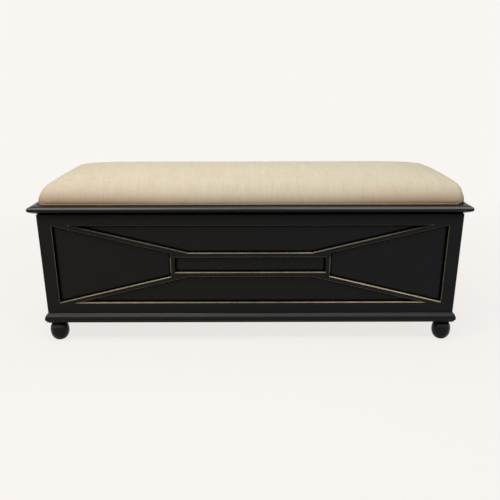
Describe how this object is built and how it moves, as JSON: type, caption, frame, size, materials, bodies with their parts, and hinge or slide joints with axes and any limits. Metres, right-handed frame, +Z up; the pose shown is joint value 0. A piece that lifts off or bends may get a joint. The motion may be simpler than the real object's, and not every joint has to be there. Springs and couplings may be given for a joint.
{
  "type": "storage bench",
  "caption": "Storage bench: framed black box with bow-tie fretwork, moulded base and ball feet, and a hinged lid with a padded linen seat over an open compartment.",
  "frame": {"origin": "centre of the bench's outline on the floor, under the middle of the box that bounds it", "axes": "+X across the bench to the right as seen from the front, +Y from the front to the hinged back, +Z up"},
  "size_m": [1.22, 0.4124, 0.492],
  "materials": {
    "black_paint": "satin",
    "plywood": "matte",
    "linen": "matte",
    "foam": "matte",
    "hinge_brass": "satin",
    "steel": "satin",
    "rubber": "matte"
  },
  "bodies": {
    "box": {"back_panel": "black_paint", "base_back": "black_paint", "base_front": "black_paint", "base_left": "black_paint", "base_right": "black_paint", "bottom_panel": "plywood", "corner_posts": "plywood", "foot_back_left": "black_paint", "foot_back_right": "black_paint", "foot_front_left": "black_paint", "foot_front_right": "black_paint", "foot_plate_screws": "steel", "foot_plates": "steel", "foot_studs": "steel", "fret_left_upright": "black_paint", "fret_lower_bar": "black_paint", "fret_lower_left_diagonal": "black_paint", "fret_lower_right_diagonal": "black_paint", "fret_right_upright": "black_paint", "fret_upper_bar": "black_paint", "fret_upper_left_diagonal": "black_paint", "fret_upper_right_diagonal": "black_paint", "front_bottom_rail": "black_paint", "front_left_stile": "black_paint", "front_panel": "black_paint", "front_right_stile": "black_paint", "front_top_rail": "black_paint", "hinge_box_leaves": "hinge_brass", "hinge_box_screws": "hinge_brass", "hinge_pins": "hinge_brass", "left_side_panel": "black_paint", "left_side_rails": "black_paint", "left_side_stiles": "black_paint", "left_stay_box_bracket": "steel", "lid_bumpers": "rubber", "right_side_panel": "black_paint", "right_side_rails": "black_paint", "right_side_stiles": "black_paint", "right_stay_box_bracket": "steel", "stay_box_screws": "steel"},
    "lid": {"lid_panel": "black_paint", "lid_front_moulding": "black_paint", "lid_left_moulding": "black_paint", "lid_right_moulding": "black_paint", "lid_back_rail": "black_paint", "seat_board": "plywood", "seat_foam": "foam", "seat_cover": "linen", "seat_screws": "steel", "hinge_lid_leaves": "hinge_brass", "hinge_lid_screws": "hinge_brass", "left_stay_lid_bracket": "steel", "right_stay_lid_bracket": "steel", "stay_lid_screws": "steel"},
    "left_lower_arm": {"left_stay_lower_arm": "steel", "left_stay_rivet": "steel"},
    "left_upper_arm": {"left_stay_upper_arm": "steel"},
    "right_lower_arm": {"right_stay_lower_arm": "steel", "right_stay_rivet": "steel"},
    "right_upper_arm": {"right_stay_upper_arm": "steel"}
  },
  "joints": [
    {"name": "lid_hinge", "type": "hinge", "parent": "box", "child": "lid", "pos_m": [0, 0.20325, 0.389], "axis": [-1, 0, 0], "range_deg": [0, 90]},
    {"name": "left_lower_arm_pivot", "type": "hinge", "parent": "box", "child": "left_lower_arm", "pos_m": [-0.56725, 0.04936, 0.34295], "axis": [-1, 0, 0], "range_deg": [0, 90]},
    {"name": "left_upper_arm_pivot", "type": "hinge", "parent": "lid", "child": "left_upper_arm", "pos_m": [-0.56725, 0.04314, 0.37595], "axis": [-1, 0, 0], "range_deg": [-90, 0]},
    {"name": "right_lower_arm_pivot", "type": "hinge", "parent": "box", "child": "right_lower_arm", "pos_m": [0.56725, 0.04936, 0.34295], "axis": [-1, 0, 0], "range_deg": [0, 90]},
    {"name": "right_upper_arm_pivot", "type": "hinge", "parent": "lid", "child": "right_upper_arm", "pos_m": [0.56725, 0.04314, 0.37595], "axis": [-1, 0, 0], "range_deg": [-90, 0]}
  ],
  "couplings": [
    {"joint": "left_lower_arm_pivot", "follows": "lid_hinge", "ratio": 1},
    {"joint": "left_upper_arm_pivot", "follows": "lid_hinge", "ratio": -1},
    {"joint": "right_lower_arm_pivot", "follows": "lid_hinge", "ratio": 1},
    {"joint": "right_upper_arm_pivot", "follows": "lid_hinge", "ratio": -1}
  ]
}
